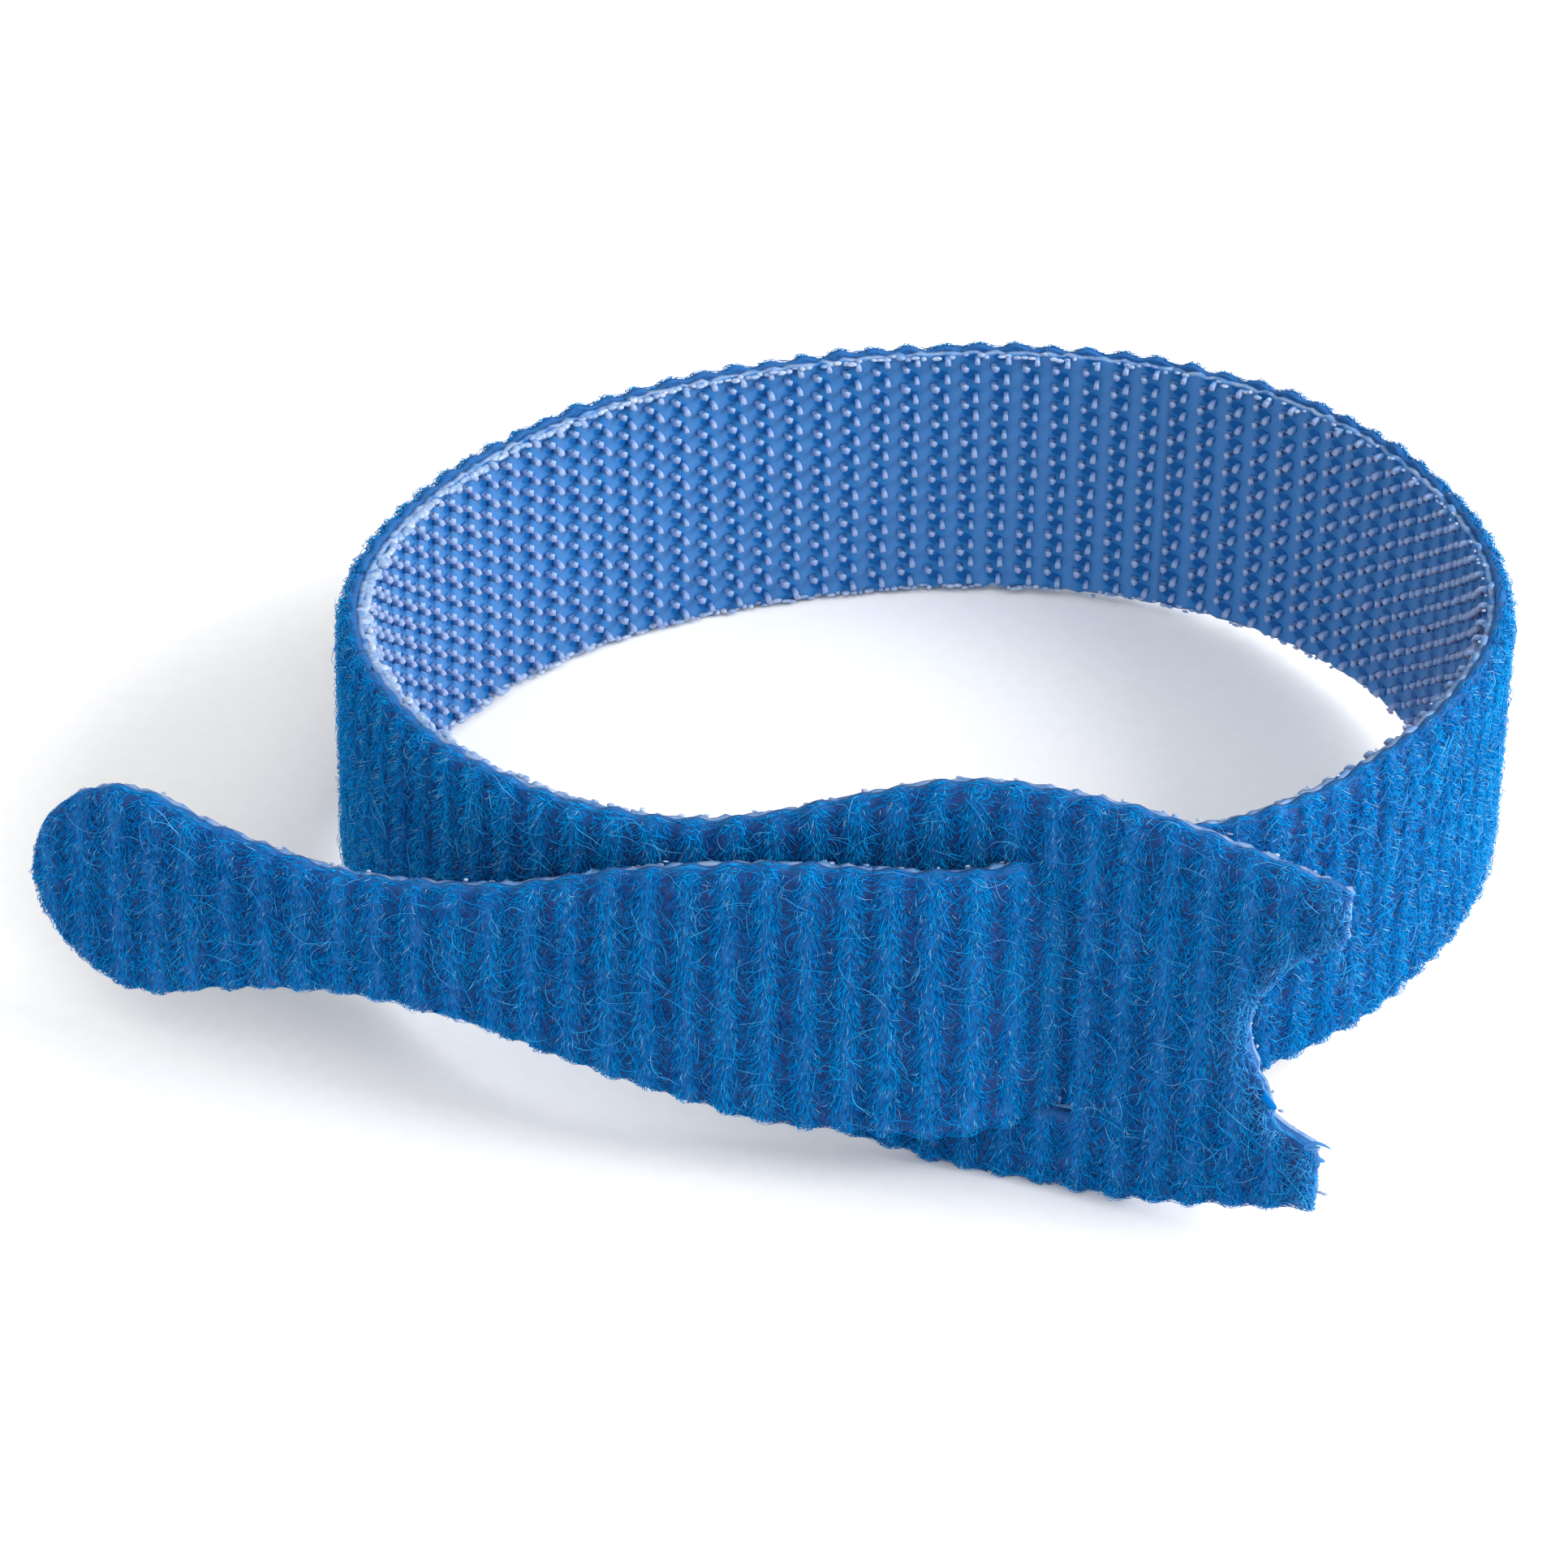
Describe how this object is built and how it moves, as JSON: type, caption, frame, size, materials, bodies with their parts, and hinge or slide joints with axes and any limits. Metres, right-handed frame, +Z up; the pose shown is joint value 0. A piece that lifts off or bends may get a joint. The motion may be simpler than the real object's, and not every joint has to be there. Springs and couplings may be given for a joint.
{
  "type": "hook-and-loop strap tie",
  "caption": "Slotted hook-and-loop strap tie with ribbed loop pile outside and moulded hooks inside, closed into a ring, its tapered tail passed through the slot and lying free.",
  "frame": {"origin": "under the middle of the closed strap, on the surface it stands on", "axes": "+X to the right along the closed strap, away from the free tail; +Y from the overlapped head towards the back of the ring; +Z up, out of the ring"},
  "size_m": [0.064, 0.0507, 0.0192],
  "materials": {
    "loop_pile": "brushed nylon loop pile, knitted in ribs across the band",
    "hook_tape": "moulded translucent nylon hooks, satin"
  },
  "bodies": {
    "ring": {"slotted_head_hook_tape": "hook_tape", "slotted_head_loop_pile": "loop_pile", "neck_hook_tape": "hook_tape", "neck_loop_pile": "loop_pile", "ring_front_left_hook_tape": "hook_tape", "ring_front_left_loop_pile": "loop_pile", "ring_left_hook_tape": "hook_tape", "ring_left_loop_pile": "loop_pile", "ring_back_left_hook_tape": "hook_tape", "ring_back_left_loop_pile": "loop_pile", "ring_back_hook_tape": "hook_tape", "ring_back_loop_pile": "loop_pile", "ring_back_right_hook_tape": "hook_tape", "ring_back_right_loop_pile": "loop_pile", "ring_right_hook_tape": "hook_tape", "ring_right_loop_pile": "loop_pile", "ring_front_right_hook_tape": "hook_tape", "ring_front_right_loop_pile": "loop_pile", "slot_pass_hook_tape": "hook_tape", "slot_pass_loop_pile": "loop_pile"},
    "end_flap": {"end_flap_hook_tape": "hook_tape", "end_flap_loop_pile": "loop_pile"},
    "tail_root": {"tail_root_hook_tape": "hook_tape", "tail_root_loop_pile": "loop_pile"},
    "tail_taper": {"tail_taper_hook_tape": "hook_tape", "tail_taper_loop_pile": "loop_pile"},
    "tail_neck": {"tail_neck_hook_tape": "hook_tape", "tail_neck_loop_pile": "loop_pile"},
    "pull_tab": {"pull_tab_hook_tape": "hook_tape", "pull_tab_loop_pile": "loop_pile"}
  },
  "joints": [
    {"name": "end_flap_flex", "type": "hinge", "parent": "ring", "child": "end_flap", "pos_m": [0.01175, -0.02084, 0.00969], "axis": [0.0298, -0.0676, -0.9973], "range_deg": [-6, 35], "stiffness_Nm_per_rad": 0.0002},
    {"name": "tail_peel", "type": "hinge", "parent": "ring", "child": "tail_root", "pos_m": [0.00737, -0.0217, 0.00962], "axis": [-0.0298, 0.0676, 0.9973], "range_deg": [0, 30], "stiffness_Nm_per_rad": 0.0002},
    {"name": "tail_lift", "type": "hinge", "parent": "tail_root", "child": "tail_taper", "pos_m": [-0.00338, -0.0207, 0.00923], "axis": [-0.0298, 0.0676, 0.9973], "range_deg": [0, 30]},
    {"name": "tail_bend", "type": "hinge", "parent": "tail_taper", "child": "tail_neck", "pos_m": [-0.01271, -0.01876, 0.00882], "axis": [-0.0298, 0.0676, 0.9973], "range_deg": [-9, 45], "stiffness_Nm_per_rad": 0.0002},
    {"name": "tab_flex", "type": "hinge", "parent": "tail_neck", "child": "pull_tab", "pos_m": [-0.02142, -0.01633, 0.00839], "axis": [-0.0298, 0.0676, 0.9973], "range_deg": [-20, 40], "stiffness_Nm_per_rad": 0.0002}
  ],
  "couplings": [
    {"joint": "tail_lift", "follows": "tail_peel", "ratio": 1}
  ]
}
